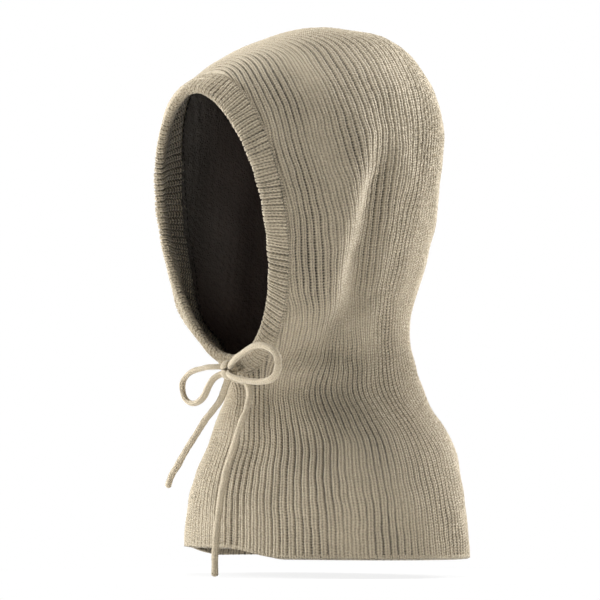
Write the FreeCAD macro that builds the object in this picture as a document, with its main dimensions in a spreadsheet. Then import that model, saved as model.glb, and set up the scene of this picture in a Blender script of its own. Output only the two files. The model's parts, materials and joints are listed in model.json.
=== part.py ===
import FreeCAD, Part
import Sketcher
import math
import os

# Knitted balaclava: rib-knit bib and hood, folded face band with a drawcord, fleece-lined hood.
# Frame in mm: +Z up, the face looks along -Y, +X is the wearer's left, the hem plane is z = 0.
# "left" and "right" are always the wearer's.

Vector = FreeCAD.Vector

# Reach of the helper boxes that keep one side of a solid; larger than the whole object
SPAN = 600.0

# Horizontal sections of the hood's outer skin, from the neck up:
# name, height, half width across, front reach (y), back reach (y)
HOOD_SECTIONS = (
    ("collar", 104, 71.5, -53, 91),
    ("neck", 122, 71, -53, 90),
    ("throat", 132, 68.5, -57, 87),
    ("chin", 150, 66, -72, 83.5),
    ("jaw", 168, 69.5, -104, 84.5),
    ("mouth", 200, 77, -130, 93),
    ("ear", 240, 84, -140, 105),
    ("temple", 282, 86, -131, 112),
    ("brow", 316, 84, -114, 111.5),
    ("forehead", 336, 79, -103.5, 106.5),
    ("band_top", 351, 71, -88, 99),
    ("vault", 366, 57.5, -58, 86),
    ("cap", 378, 42, -28, 66),
    ("crown", 385.5, 18, -2, 36),
)

# Horizontal sections of the bib's outer skin, from the hem up, in the same order of columns
BIB_SECTIONS = (
    ("hem", -12, 129, -67, 107),
    ("chest", 30, 124, -66.5, 106),
    ("yoke", 62, 113.5, -63.5, 104.5),
    ("shoulder", 85, 101, -56, 100.5),
    ("slope", 104, 85, -53, 94),
    ("base", 126, 70.9, -52, 89.8),
)

# Single driving dimensions
SIZES = {
    "apex_height": 388.0,
    "apex_reach": 17.0,
    "hood_centre_height": 245.0,
    "hood_centre_reach": -15.0,
    "bib_knit_floor": 4.4,
    "bib_knit_top": 120.0,
    "hood_knit_floor": 122.0,
    "knit_thickness": 3.6,
    "lining_gap": 0.4,
    "lining_thickness": 1.6,
    "lining_floor": 133.0,
    "centre_gap": 0.8,
    "seam_width": 3.0,
    "seam_height": 1.1,
    "skin_clearance": 0.15,
    "hem_height": 4.0,
    "hem_round": 1.5,
    "hem_width": 4.6,
    "hem_half_width": 128.6,
    "hem_half_depth": 87.4,
    "hem_centre_reach": 19.8,
    "band_root_half_width": 75.0,
    "band_root_half_height": 110.8,
    "band_root_reach": -72.5,
    "band_root_height": 241.75,
    "band_root_tilt": 8.04,
    "band_fold_half_width": 64.0,
    "band_fold_half_height": 100.0,
    "band_fold_reach": -86.0,
    "band_fold_height": 242.0,
    "band_fold_tilt": 10.73,
    "band_depth": 7.5,
    "band_wall": 1.9,
    "joint_gap": 1.0,
    "yarn_radius": 0.9,
    "thread_radius": 0.5,
    "thread_layer": 0.8,
    "seam_yarn_lift": 1.2,
    "face_stitch_drop": 1.2,
    "neck_stitch_inset": 2.25,
    "neck_stitch_drop": 1.25,
    "casing_start": 0.14,
    "casing_end": 0.88,
    "cutter_overrun": 1.0,
    "cord_width": 5.0,
    "cord_thickness": 3.4,
    "cased_cord_width": 6.0,
    "cased_cord_thickness": 2.0,
    "cord_end_gap": 0.8,
    "lead_radius": 2.0,
    "lead_length": 5.2,
    "eyelet_inner_radius": 2.5,
    "eyelet_outer_radius": 4.0,
    "eyelet_height": 1.0,
    "eyelet_spread": 5.5,
    "eyelet_seat": 0.35,
    "casing_hole_radius": 3.0,
    "knot_half_width": 5.5,
    "knot_half_depth": 4.6,
    "knot_half_height": 6.2,
    "knot_offset": 2.0,
    "knot_reach": -72.0,
    "knot_height": 134.0,
}

doc = FreeCAD.newDocument("balaclava")
sheet = doc.addObject("Spreadsheet::Sheet", "sizes")


def fill_sheet():
    """Put every driving dimension in its own cell under a word alias."""
    cells = dict(SIZES)
    for group, sections in (("hood", HOOD_SECTIONS), ("bib", BIB_SECTIONS)):
        for name, height, half_width, front, back in sections:
            cells[f"{group}_{name}_height"] = height
            cells[f"{group}_{name}_half_width"] = half_width
            cells[f"{group}_{name}_half_depth"] = (back - front) / 2
            cells[f"{group}_{name}_centre"] = (back + front) / 2
    for row, (alias, value) in enumerate(cells.items(), start=1):
        sheet.set(f"A{row}", alias)
        sheet.set(f"B{row}", str(value))
        sheet.setAlias(f"B{row}", alias)
    doc.recompute()


def size(alias):
    return float(sheet.get(alias))


def bind(obj, **expressions):
    """Bind properties to sheet expressions; two underscores stand for the dot of a nested property."""
    for prop, expression in expressions.items():
        obj.setExpression(prop.replace("__", "."), expression)


def cell(alias):
    return f"sizes.{alias}"


# ---------------------------------------------------------------- skins lofted through sections

def section_ellipse(name, group, station, inset, deep):
    """Horizontal ellipse of one section, shrunk by an inset from the outer skin.

    deep puts the major axis front to back (hood), otherwise it runs across (bib).
    """
    ring = doc.addObject("Part::Ellipse", name)
    across = f"{cell(f'{group}_{station}_half_width')} - {inset}"
    along = f"{cell(f'{group}_{station}_half_depth')} - {inset}"
    bind(ring, MajorRadius=along if deep else across, MinorRadius=across if deep else along)
    if deep:
        ring.Placement = FreeCAD.Placement(Vector(0, 0, 0), FreeCAD.Rotation(Vector(0, 0, 1), 90))
    bind(ring, Placement__Base__y=cell(f"{group}_{station}_centre"))
    return ring


def hood_form(inset):
    """Closed egg-shaped solid of the hood, its skin moved inwards by inset (outwards if negative)."""
    tag = f"hood_form_{str(inset).replace('.', '_').replace('-', 'out_')}"
    if doc.getObject(tag):
        return doc.getObject(tag)
    rings = []
    for station, *_ in HOOD_SECTIONS:
        ring = section_ellipse(f"{tag}_{station}", "hood", station, inset, deep=True)
        drop = f"{inset} * ({cell(f'hood_{station}_height')} - {cell('hood_centre_height')})"
        reach = f"({cell('apex_height')} - {cell('hood_centre_height')})"
        bind(ring, Placement__Base__z=f"{cell(f'hood_{station}_height')} - {drop} / {reach}")
        rings.append(ring)
    apex = doc.addObject("Part::Vertex", f"{tag}_apex")
    bind(apex, Y=cell("apex_reach"), Z=f"{cell('apex_height')} - {inset}")
    form = doc.addObject("Part::Loft", tag)
    form.Sections = rings + [apex]
    form.Solid = True
    return form


def bib_form(inset):
    """Closed flared solid of the bib, its skin moved inwards by inset."""
    tag = f"bib_form_{str(inset).replace('.', '_').replace('-', 'out_')}"
    if doc.getObject(tag):
        return doc.getObject(tag)
    rings = []
    for station, *_ in BIB_SECTIONS:
        ring = section_ellipse(f"{tag}_{station}", "bib", station, inset, deep=False)
        bind(ring, Placement__Base__z=cell(f"bib_{station}_height"))
        rings.append(ring)
    form = doc.addObject("Part::Loft", tag)
    form.Sections = rings
    form.Solid = True
    return form


def block(name, corner, spans):
    """Large helper box used to keep one side of a solid; spans are its three lengths."""
    box = doc.addObject("Part::Box", name)
    box.Length, box.Width, box.Height = spans
    box.Placement.Base = Vector(*corner)
    return box


def boolean(kind, name, base, tool):
    result = doc.addObject(f"Part::{kind}", name)
    result.Base = base
    result.Tool = tool
    return result


def behind_face_plane(name, setback):
    """Half space behind the plane where band and hood meet, moved back by setback."""
    tilt = size("band_root_tilt")
    turn = FreeCAD.Rotation(Vector(1, 0, 0), tilt)
    corner = turn.multVec(Vector(-SPAN / 2, setback, -SPAN / 2))
    box = block(name, (0, 0, 0), (SPAN, SPAN, SPAN))
    origin = Vector(0, size("band_root_reach"), size("band_root_height"))
    box.Placement = FreeCAD.Placement(origin + corner, turn)
    return box


def above(name, alias):
    """Half space above a named height."""
    box = block(name, (-SPAN / 2, -SPAN / 2, 0), (SPAN, SPAN, SPAN))
    bind(box, Placement__Base__z=cell(alias))
    return box


def make_bib():
    """Bib knit, its rolled cast-off hem and its centre-back seam."""
    inner = bib_form(size("knit_thickness"))
    shell = boolean("Cut", "bib_shell", bib_form(0), inner)
    slab = block("bib_slab", (-SPAN / 2, -SPAN / 2, 0), (SPAN, SPAN, 1))
    bind(slab, Placement__Base__z=cell("bib_knit_floor"))
    bind(slab, Height=f"{cell('bib_knit_top')} - {cell('bib_knit_floor')}")
    knit = boolean("Common", "bib_knit", shell, slab)

    raised = bib_form(-size("seam_height"))
    lifted = bib_form(-size("skin_clearance"))
    ridge = boolean("Cut", "bib_ridge", raised, lifted)
    strip = centre_strip("bib_seam_strip", "seam_width", "bib_knit_floor")
    bind(strip, Height=f"{cell('bib_knit_top')} - {cell('bib_knit_floor')}")
    seam = boolean("Common", "bib_back_seam", ridge, strip)
    return knit, make_hem(), seam


def centre_strip(name, width_alias, floor_alias):
    """Upright strip on the centre plane behind the neck axis."""
    strip = block(name, (0, 0, 0), (1, SPAN, SPAN))
    bind(strip, Length=cell(width_alias), Placement__Base__x=f"-{cell(width_alias)} / 2")
    bind(strip, Placement__Base__y=cell("apex_reach"), Placement__Base__z=cell(floor_alias))
    return strip


def make_hem():
    """Cast-off edge: a padded oval ring with rounded outer edges."""
    body = doc.addObject("PartDesign::Body", "hem_bind_off")
    sketch = body.newObject("Sketcher::SketchObject", "hem_outline")
    plane = next(f for f in body.Origin.OriginFeatures if f.Role == "XY_Plane")
    sketch.AttachmentSupport = [(plane, "")]
    sketch.MapMode = "FlatFace"
    centre = Vector(0, size("hem_centre_reach"), 0)
    for inset_alias in (None, "hem_width"):
        inset = size(inset_alias) if inset_alias else 0.0
        shrink = f" - {cell(inset_alias)}" if inset_alias else ""
        across = size("hem_half_width") - inset
        along = size("hem_half_depth") - inset
        curve = Part.Ellipse(centre + Vector(across, 0, 0), centre + Vector(0, along, 0), centre)
        ring = sketch.addGeometry(curve, False)
        sketch.exposeInternalGeometry(ring)
        major, minor = ring + 1, ring + 2
        sketch.addConstraint(Sketcher.Constraint("Horizontal", major))
        sketch.addConstraint(Sketcher.Constraint("PointOnObject", ring, 3, -2))
        seat = Sketcher.Constraint("DistanceY", -1, 1, ring, 3, centre.y)
        full_width = Sketcher.Constraint("Distance", major, 2 * across)
        full_depth = Sketcher.Constraint("Distance", minor, 2 * along)
        for label, constraint, value in (
            ("centre", seat, cell("hem_centre_reach")),
            ("across", full_width, f"2 * ({cell('hem_half_width')}{shrink})"),
            ("along", full_depth, f"2 * ({cell('hem_half_depth')}{shrink})"),
        ):
            index = sketch.addConstraint(constraint)
            name = f"{label}_{'inner' if inset_alias else 'outer'}"
            sketch.renameConstraint(index, name)
            sketch.setExpression(f"Constraints.{name}", value)
    doc.recompute()
    pad = body.newObject("PartDesign::Pad", "hem_pad")
    pad.Profile = sketch
    pad.setExpression("Length", cell("hem_height"))
    doc.recompute()
    top_edges = [f"Edge{i}" for i, edge in enumerate(pad.Shape.Edges, start=1)
                 if len(edge.Vertexes) == 1 and edge.BoundBox.ZMin > size("hem_height") - 0.1]
    fillet = body.newObject("PartDesign::Fillet", "hem_round")
    fillet.Base = (pad, top_edges)
    bind(fillet, Radius=cell("hem_round"))
    body.Tip = fillet
    return body


def make_hood():
    """Hood knit with its face opening, and the raised closing seam down the back."""
    shell = boolean("Cut", "hood_shell", hood_form(0), hood_form(size("knit_thickness")))
    face_side = behind_face_plane("hood_side", size("joint_gap"))
    open_shell = boolean("Common", "hood_open_shell", shell, face_side)
    knit = boolean("Common", "hood_knit", open_shell, above("hood_floor", "hood_knit_floor"))

    ridge = boolean("Cut", "hood_ridge", hood_form(-size("seam_height")), hood_form(-size("skin_clearance")))
    strip = centre_strip("hood_seam_strip", "seam_width", "hood_knit_floor")
    seam = boolean("Common", "hood_back_seam", ridge, strip)
    return knit, seam


def make_lining():
    """Two fleece halves inside the hood and the thread that joins them on the centre plane."""
    outer = size("knit_thickness") + size("lining_gap")
    inner = outer + size("lining_thickness")
    sleeve = boolean("Cut", "lining_sleeve", hood_form(outer), hood_form(inner))
    face_side = behind_face_plane("lining_side", 2 * size("joint_gap"))
    trimmed = boolean("Common", "lining_trimmed", sleeve, face_side)
    full = boolean("Common", "lining_full", trimmed, above("lining_floor_side", "lining_floor"))
    left_side = block("lining_left_side", (0, -SPAN / 2, 0), (SPAN, SPAN, SPAN))
    bind(left_side, Placement__Base__x=f"{cell('centre_gap')} / 2")
    right_side = block("lining_right_side", (0, -SPAN / 2, 0), (SPAN, SPAN, SPAN))
    bind(right_side, Placement__Base__x=f"-{cell('centre_gap')} / 2 - {SPAN}")
    left = boolean("Common", "hood_lining_left", full, left_side)
    right = boolean("Common", "hood_lining_right", full, right_side)

    thread_top = inner + size("skin_clearance")
    thread_bottom = thread_top + size("thread_layer")
    thread_layer = boolean("Cut", "lining_thread_layer", hood_form(thread_top), hood_form(thread_bottom))
    thread_open = boolean("Common", "lining_thread_open", thread_layer,
                          behind_face_plane("thread_side", 3 * size("joint_gap")))
    strip = block("lining_seam_strip", (0, -SPAN / 2, 0), (1, SPAN, SPAN))
    bind(strip, Length=cell("seam_width"), Placement__Base__x=f"-{cell('seam_width')} / 2")
    bind(strip, Placement__Base__z=cell("lining_floor"))
    seam = boolean("Common", "lining_centre_seam", thread_open, strip)
    return left, right, seam


# ---------------------------------------------------------------- face band and its rings

def band_frame(share):
    """Centre and axes of the tilted band ellipse; share 0 is the hood edge and 1 the fold."""
    def mix(word):
        return size(f"band_root_{word}") * (1 - share) + size(f"band_fold_{word}") * share
    tilt = math.radians(mix("tilt"))
    up = Vector(0, -math.sin(tilt), math.cos(tilt))
    across = Vector(-1, 0, 0)
    centre = Vector(0, mix("reach"), mix("height"))
    return centre, FreeCAD.Rotation(up, across, up.cross(across), "XYZ")


def band_ellipse(name, share, inset):
    """Tilted ellipse of the band at one share of its width, shrunk by inset."""
    ring = doc.addObject("Part::Ellipse", name)
    centre, turn = band_frame(share)
    ring.Placement = FreeCAD.Placement(centre, turn)
    for prop, word in (("MajorRadius", "half_height"), ("MinorRadius", "half_width")):
        mixed = f"{cell('band_root_' + word)} * {1 - share} + {cell('band_fold_' + word)} * {share}"
        ring.setExpression(prop, f"{mixed} - {inset}")
    return ring


def band_cone(name, start, end, inset):
    """Solid between two tilted ellipses of the band."""
    cone = doc.addObject("Part::Loft", name)
    cone.Sections = [band_ellipse(f"{name}_a", start, inset), band_ellipse(f"{name}_b", end, inset)]
    cone.Solid = True
    cone.Ruled = True
    return cone


def eyelet_frames():
    """Placements of the two eyelets: on the underside of the band, their axis square to it."""
    points = []
    for share in (0.0, 1.0):
        centre, turn = band_frame(share)
        word = "root" if share == 0.0 else "fold"
        points.append(centre - turn.multVec(Vector(size(f"band_{word}_half_height"), 0, 0)))
    along = points[1] - points[0]
    along.normalize()
    outward = Vector(0, -along.z, along.y)
    middle = (points[0] + points[1]) * 0.5
    return middle, outward


def make_band():
    """Folded double band: a hollow ring whose casing opens at two holes under the chin."""
    depth = size("band_depth")
    wall = size("band_wall")
    start = size("casing_start")
    end = size("casing_end")
    overrun = size("cutter_overrun")
    outside = band_cone("band_outer", 0.0, 1.0, 0.0)
    inside = band_cone("band_inner", 0.0, 1.0, depth)
    ring = boolean("Cut", "band_ring", outside, inside)
    casing_outside = band_cone("casing_outer", start, end, wall)
    casing_inside = band_cone("casing_inner", start, end, depth - wall)
    casing = boolean("Cut", "band_casing", casing_outside, casing_inside)
    hollow = boolean("Cut", "band_hollow", ring, casing)
    middle, outward = eyelet_frames()
    current = hollow
    for side, sign in (("left", 1), ("right", -1)):
        hole = doc.addObject("Part::Cylinder", f"casing_hole_{side}")
        bind(hole, Radius=cell("casing_hole_radius"))
        hole.Height = 2 * (wall + overrun)
        base = middle - outward * (wall + overrun) + Vector(sign * size("eyelet_spread"), 0, 0)
        hole.Placement = FreeCAD.Placement(base, FreeCAD.Rotation(Vector(0, 0, 1), outward))
        label = "face_band" if side == "right" else "band_one_hole"
        current = boolean("Cut", label, current, hole)
    return current


def ring_along_band(name, share, inset, radius_alias):
    """Round yarn ring that follows the band's ellipse."""
    spine = band_ellipse(f"{name}_spine", share, inset)
    profile = doc.addObject("Part::Circle", f"{name}_profile")
    bind(profile, Radius=cell(radius_alias))
    centre, turn = band_frame(share)
    half = (size("band_root_half_height") * (1 - share) + size("band_fold_half_height") * share) - inset
    start = centre + turn.multVec(Vector(half, 0, 0))
    tangent = turn.multVec(Vector(0, 1, 0))
    profile.Placement = FreeCAD.Placement(start, FreeCAD.Rotation(Vector(0, 0, 1), tangent))
    return sweep(name, profile, spine)


def sweep(name, profile, spine):
    tube = doc.addObject("Part::Sweep", name)
    tube.Sections = [profile]
    tube.Spine = (spine, ["Edge1"])
    tube.Solid = True
    tube.Frenet = False
    return tube


def make_neck_stitch():
    """Thread ring just under the lining's lower edge, on the inside of the knit."""
    inset = size("knit_thickness") + size("neck_stitch_inset")
    spine = section_ellipse("lining_neck_spine", "hood", "throat", inset, deep=True)
    bind(spine, Placement__Base__z=f"{cell('lining_floor')} - {cell('neck_stitch_drop')}")
    profile = doc.addObject("Part::Circle", "lining_neck_profile")
    bind(profile, Radius=cell("thread_radius"))
    centre = Vector(0, size("hood_throat_centre"), size("lining_floor") - size("neck_stitch_drop"))
    start = centre + Vector(0, size("hood_throat_half_depth") - inset, 0)
    profile.Placement = FreeCAD.Placement(start, FreeCAD.Rotation(Vector(0, 0, 1), Vector(-1, 0, 0)))
    return sweep("lining_neck_stitch", profile, spine)


def make_cased_cord():
    """Flat cord inside the casing, open between the two eyelets at the bottom of the ring."""
    share = 0.5
    inset = size("band_depth") / 2
    half_up = (size("band_root_half_height") + size("band_fold_half_height")) / 2 - inset
    half_out = (size("band_root_half_width") + size("band_fold_half_width")) / 2 - inset
    open_reach = size("eyelet_spread") + size("lead_radius") + size("cord_end_gap")
    open_angle = math.asin(open_reach / half_out)
    spine = band_ellipse("cased_cord_spine", share, inset)
    spine.Angle1 = 180 + math.degrees(open_angle)
    spine.Angle2 = 180 - math.degrees(open_angle)

    centre, turn = band_frame(share)
    angle = math.pi + open_angle
    start = centre + turn.multVec(Vector(half_up * math.cos(angle), half_out * math.sin(angle), 0))
    tangent = turn.multVec(Vector(-half_up * math.sin(angle), half_out * math.cos(angle), 0))
    tangent.normalize()
    _, outward = eyelet_frames()
    width_way = tangent.cross(outward)
    width_way.normalize()
    profile = doc.addObject("Part::Ellipse", "cased_cord_profile")
    bind(profile, MajorRadius=f"{cell('cased_cord_width')} / 2")
    bind(profile, MinorRadius=f"{cell('cased_cord_thickness')} / 2")
    profile.Placement = FreeCAD.Placement(
        start, FreeCAD.Rotation(width_way, tangent.cross(width_way), tangent, "XYZ"))
    return sweep("drawcord_run", profile, spine)


def make_eyelets_and_leads():
    """Stitched ring round each casing hole and the short cord that comes out through it."""
    middle, outward = eyelet_frames()
    pieces = []
    for side, sign in (("left", 1), ("right", -1)):
        seat = middle + Vector(sign * size("eyelet_spread"), 0, 0)
        turn = FreeCAD.Rotation(Vector(0, 0, 1), outward)
        disc = doc.addObject("Part::Cylinder", f"eyelet_disc_{side}")
        bind(disc, Radius=cell("eyelet_outer_radius"), Height=cell("eyelet_height"))
        bore = doc.addObject("Part::Cylinder", f"eyelet_bore_{side}")
        bind(bore, Radius=cell("eyelet_inner_radius"), Height=f"3 * {cell('eyelet_height')}")
        disc.Placement = FreeCAD.Placement(seat + outward * size("eyelet_seat"), turn)
        bore.Placement = FreeCAD.Placement(seat - outward, turn)
        pieces.append(boolean("Cut", f"cord_eyelet_{side}", disc, bore))
        lead = doc.addObject("Part::Cylinder", f"cord_lead_{side}")
        bind(lead, Radius=cell("lead_radius"), Height=cell("lead_length"))
        lead.Placement = FreeCAD.Placement(seat - outward * size("lead_length") / 2, turn)
        pieces.append(lead)
    return pieces


# ---------------------------------------------------------------- bow

def strand(name, points, flat_way):
    """Flat cord along a smooth curve through points; flat_way is roughly square to its wide face."""
    curve = Part.BSplineCurve()
    curve.interpolate([Vector(*point) for point in points])
    begin = curve.FirstParameter
    spine = doc.addObject("Part::Feature", f"{name}_spine")
    spine.Shape = curve.toShape()
    tangent = curve.tangent(begin)[0]
    width_way = tangent.cross(Vector(*flat_way))
    width_way.normalize()
    profile = doc.addObject("Part::Ellipse", f"{name}_profile")
    bind(profile, MajorRadius=f"{cell('cord_width')} / 2", MinorRadius=f"{cell('cord_thickness')} / 2")
    turn = FreeCAD.Rotation(width_way, tangent.cross(width_way), tangent, "XYZ")
    profile.Placement = FreeCAD.Placement(curve.value(begin), turn)
    return sweep(name, profile, spine)


def make_bow():
    """Knot, two drooping loops and the two tails; each tail is parted just below its loop."""
    knot = doc.addObject("Part::Ellipsoid", "bow_knot")
    bind(knot, Radius1=cell("knot_half_height"), Radius2=cell("knot_half_width"))
    bind(knot, Radius3=cell("knot_half_depth"), Placement__Base__x=cell("knot_offset"))
    bind(knot, Placement__Base__y=cell("knot_reach"), Placement__Base__z=cell("knot_height"))

    forward = (0, -1, 0)
    loop_left = strand("bow_loop_left", (
        (10, -76.5, 138), (30, -79, 147), (50, -78, 150.5), (60, -75, 141), (55, -74, 131),
        (38, -75, 127), (22, -76.5, 129), (10.5, -77.5, 131.5)), forward)
    loop_right = strand("bow_loop_right", (
        (-6, -76.5, 138), (-20, -78.5, 136.5), (-35, -79, 133), (-43.5, -78, 124), (-40, -77, 114),
        (-28, -77, 112.5), (-16, -77.5, 120), (-7, -77, 130)), (0.7, -0.7, 0))
    stub_left = strand("cord_stub_left", (
        (8.5, -69.5, 128), (16, -68.5, 127.5), (23, -68.5, 122), (24.5, -69.5, 117)), forward)
    stub_right = strand("cord_stub_right", ((-1, -69.5, 126), (-4, -69.5, 121), (-8.5, -69.8, 114)), forward)
    tail_left = strand("cord_tail_left", (
        (24.8, -70, 114.5), (25, -73, 103), (20.5, -75.5, 92), (16.5, -77, 79), (12, -79, 66),
        (8, -80.5, 50), (5, -82, 30), (3, -83, 10), (2, -83, -14)), forward)
    tail_right = strand("cord_tail_right", (
        (-9.3, -70.2, 112.6), (-19, -74, 101), (-27, -77, 90), (-37, -80.5, 76), (-45, -83, 64),
        (-49.5, -84.5, 57), (-51, -85.5, 50)), forward)
    return knot, loop_left, loop_right, stub_left, stub_right, tail_left, tail_right


def name_parts(parts):
    for part in parts:
        part.Label = part.Name
    return list(parts)


def check_document():
    """Stop before any file is written if an object failed to compute."""
    for obj in doc.Objects:
        if {"Invalid", "Error"} & set(obj.State):
            raise RuntimeError(f"{obj.Name} did not compute: {obj.State}")


def check_part(part):
    shape = part.Shape
    if shape.isNull() or not shape.isValid() or not shape.Solids:
        raise RuntimeError(f"{part.Label} is not a valid solid")


def main():
    fill_sheet()
    parts = []
    parts += make_bib()
    parts += make_hood()
    parts += make_lining()
    parts.append(make_band())
    parts.append(ring_along_band("face_band_seam", 0.0, -size("seam_yarn_lift"), "yarn_radius"))
    stitch_inset = size("band_depth") + size("face_stitch_drop")
    parts.append(ring_along_band("lining_face_stitch", 0.0, stitch_inset, "thread_radius"))
    parts.append(make_neck_stitch())
    parts.append(make_cased_cord())
    parts += make_eyelets_and_leads()
    parts += make_bow()
    doc.recompute()
    name_parts(parts)
    check_document()
    for part in parts:
        check_part(part)
    os.makedirs("parts", exist_ok=True)
    for part in parts:
        part.Shape.exportStep(f"parts/{part.Label}.step")


main()
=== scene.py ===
import json
import math
from functools import partial

import bmesh
import bpy
import numpy as np
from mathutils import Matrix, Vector


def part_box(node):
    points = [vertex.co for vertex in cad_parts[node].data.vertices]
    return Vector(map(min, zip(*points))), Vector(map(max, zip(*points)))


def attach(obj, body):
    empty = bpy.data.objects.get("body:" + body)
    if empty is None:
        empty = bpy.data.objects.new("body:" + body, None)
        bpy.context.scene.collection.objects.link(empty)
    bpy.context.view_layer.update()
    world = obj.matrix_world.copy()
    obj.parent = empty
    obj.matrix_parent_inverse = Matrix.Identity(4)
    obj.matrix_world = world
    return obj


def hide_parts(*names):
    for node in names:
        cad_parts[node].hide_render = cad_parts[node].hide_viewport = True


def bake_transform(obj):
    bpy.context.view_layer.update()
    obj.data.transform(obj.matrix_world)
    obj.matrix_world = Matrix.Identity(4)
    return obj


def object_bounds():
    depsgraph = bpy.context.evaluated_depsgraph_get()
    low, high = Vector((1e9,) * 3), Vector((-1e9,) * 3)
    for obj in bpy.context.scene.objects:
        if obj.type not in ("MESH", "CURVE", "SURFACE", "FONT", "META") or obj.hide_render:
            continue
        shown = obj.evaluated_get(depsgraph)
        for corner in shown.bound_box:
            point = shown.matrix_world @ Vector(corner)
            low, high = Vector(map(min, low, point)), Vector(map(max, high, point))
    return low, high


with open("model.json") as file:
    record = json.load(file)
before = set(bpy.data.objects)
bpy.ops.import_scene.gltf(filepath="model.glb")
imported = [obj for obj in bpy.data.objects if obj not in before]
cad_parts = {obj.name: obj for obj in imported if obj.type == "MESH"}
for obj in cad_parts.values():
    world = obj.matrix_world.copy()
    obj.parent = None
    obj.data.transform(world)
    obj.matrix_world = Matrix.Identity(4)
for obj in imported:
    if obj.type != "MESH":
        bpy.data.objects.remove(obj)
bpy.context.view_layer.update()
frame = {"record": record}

# A rib-knit balaclava: one knitted body from hem to crown, a folded face band with a drawcord
# tied in a bow, and a dark fleece lining. Shapes are worked out in mm and stored in metres.
# +X is the wearer's left, the face looks along -Y, the hem plane is z = 0.
MM = 0.001
RNG = np.random.default_rng(7)


# ---- driving shape

APEX_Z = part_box("hood_knit")[1][2] / MM
APEX_Y = 17.0
NECK_AXIS_Y = frame["record"]["behaviour"]["joints"][0]["pos_m"][1] / MM

# Horizontal sections of the outer skin: height, half width, front reach, back reach
SECTIONS = np.array([
    (0, 127.5, -67, 107), (30, 124, -66.5, 106), (62, 113.5, -63.5, 104.5), (85, 101, -56, 100.5),
    (104, 85, -53, 94), (122, 71, -53, 90), (132, 68.5, -57, 87), (150, 66, -72, 83.5),
    (168, 69.5, -104, 84.5), (200, 77, -130, 93), (240, 84, -140, 105), (282, 86, -131, 112),
    (316, 84, -114, 111.5), (336, 79, -101.5, 106.5), (351, 71, -84, 99), (366, 57.5, -53, 86),
    (378, 42, -25, 66), (385.5, 18, -2, 36), (APEX_Z, 0, APEX_Y, APEX_Y),
])

# Face plane: centre, half sizes and lean of the ellipse at the hood edge and at the fold
ROOT = {"reach": -74.0, "height": 240.4, "half_width": 73.5, "half_height": 109.3, "tilt": 8.04}
FOLD = {"reach": -86.0, "height": 240.6, "half_width": 64.0, "half_height": 98.6, "tilt": 10.73}
FACE_TILT = math.radians(ROOT["tilt"])
FACE_NORMAL = np.array([0, math.cos(FACE_TILT), math.sin(FACE_TILT)])

# Knit
RIBS_PER_SIDE = 56
STITCH_MM = 2.0
RIB_DEPTH = 1.4
KNIT_MM = 4.0              # thickness of the knit
GRAIN = 0.09               # random roughness of the wool surface
BELOW_CHIN_Z = 110.0       # the knit is closed in front below this height
FACE_OVERLAP = 1.2         # the knit runs this far in front of the face plane

# How the ribs are laid
CROWD_Z = (112.0, 183.0)   # the ribs crowd back from the face edge between these heights
SPREAD_Z = 240.0           # above this height the ribs lean over into hoops
UPPER_LENGTH = 150.0       # about the length of a rib above that height
SEAM_SHARE = 0.085         # share of the ribs, from the front, that end under the chin
FACE_EDGE = math.radians(52)   # angle round the section where the other ribs leave the face edge
BAND_TOP_Z = 351.5         # height where the foremost of them crosses the centre line
BACK_POLE_Z = 356.0        # height where the ribs close at the back of the crown

# Face band
BAND_RIBS = 126
BAND_STITCH_MM = 2.9
BAND_THICK = 6.2
FACING_MM = 20.0           # the ribbed facing runs this far behind the face plane, under the fleece edge
FACING_DEPTH = 5.7         # how far the facing lies under the outer skin

# Fleece lining
LINING_SETBACK = 17.0      # the fleece starts this far behind the face plane
LINING_DEPTH = 6.4         # how far its inner face lies under the outer skin
LINING_FLOOR = 133.0
THREAD_LIFT = 1.0          # how far the threads stand in from the fleece

# Drawcord
CORD_WIDTH = 4.9
CORD_THICK = 3.8
KNOT = np.array([3.6, -71.6, 134.9])

# Mesh density
ROW_MM = 1.15
LOWER_ROWS = int(SPREAD_Z / ROW_MM)
UPPER_ROWS = int(UPPER_LENGTH / ROW_MM)
HALF_RIB = ((0.0, 0.07, 0.14, 0.25, 0.37, 0.44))
RIB_PHASES = HALF_RIB + (0.5,) + tuple(1 - phase for phase in HALF_RIB[:0:-1])

# View
CAMERA_AZIMUTH = 52.0
CAMERA_ELEVATION = -1.8
CAMERA_LENS = 300
VIEW_MM = 438.0            # width of the picture at the object
VIEW_OFFSET = (-0.0029, 0.1869)   # middle of the picture: to the right of the axis, and up

LIGHTS = (                 # name, angle round the object and rise in degrees, power in watts
    ("key_front", -57, 15, 38),
    ("fill_front", 12, 14, 3.5),
    ("rim_back", 171, 20, 46),
    ("top_soft", 0, 86, 25),
)
LIGHT_DISTANCE = 1.6
LIGHT_SIZE = 0.7
LIGHT_AIM_Z = 0.2


# ---- small maths

def spline(knots, values, at):
    """Natural cubic spline through the knots."""
    n = len(knots)
    gaps = np.diff(knots)
    system = np.eye(n)
    right = np.zeros(n)
    for i in range(1, n - 1):
        system[i, i - 1] = gaps[i - 1]
        system[i, i] = 2 * (gaps[i - 1] + gaps[i])
        system[i, i + 1] = gaps[i]
        right[i] = 6 * ((values[i + 1] - values[i]) / gaps[i] - (values[i] - values[i - 1]) / gaps[i - 1])
    bend = np.linalg.solve(system, right)
    i = np.clip(np.searchsorted(knots, at) - 1, 0, n - 2)
    gap = gaps[i]
    left = (knots[i + 1] - at) / gap
    rest = (at - knots[i]) / gap
    curve = left * values[i] + rest * values[i + 1]
    return curve + ((left ** 3 - left) * bend[i] + (rest ** 3 - rest) * bend[i + 1]) * gap ** 2 / 6


def smooth(x):
    """Eases from 0 to 1."""
    x = np.clip(x, 0, 1)
    return x * x * (3 - 2 * x)


def bump(distance, width):
    """Bell curve, 1 in the middle."""
    return np.exp(-(distance / width) ** 2)


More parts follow.
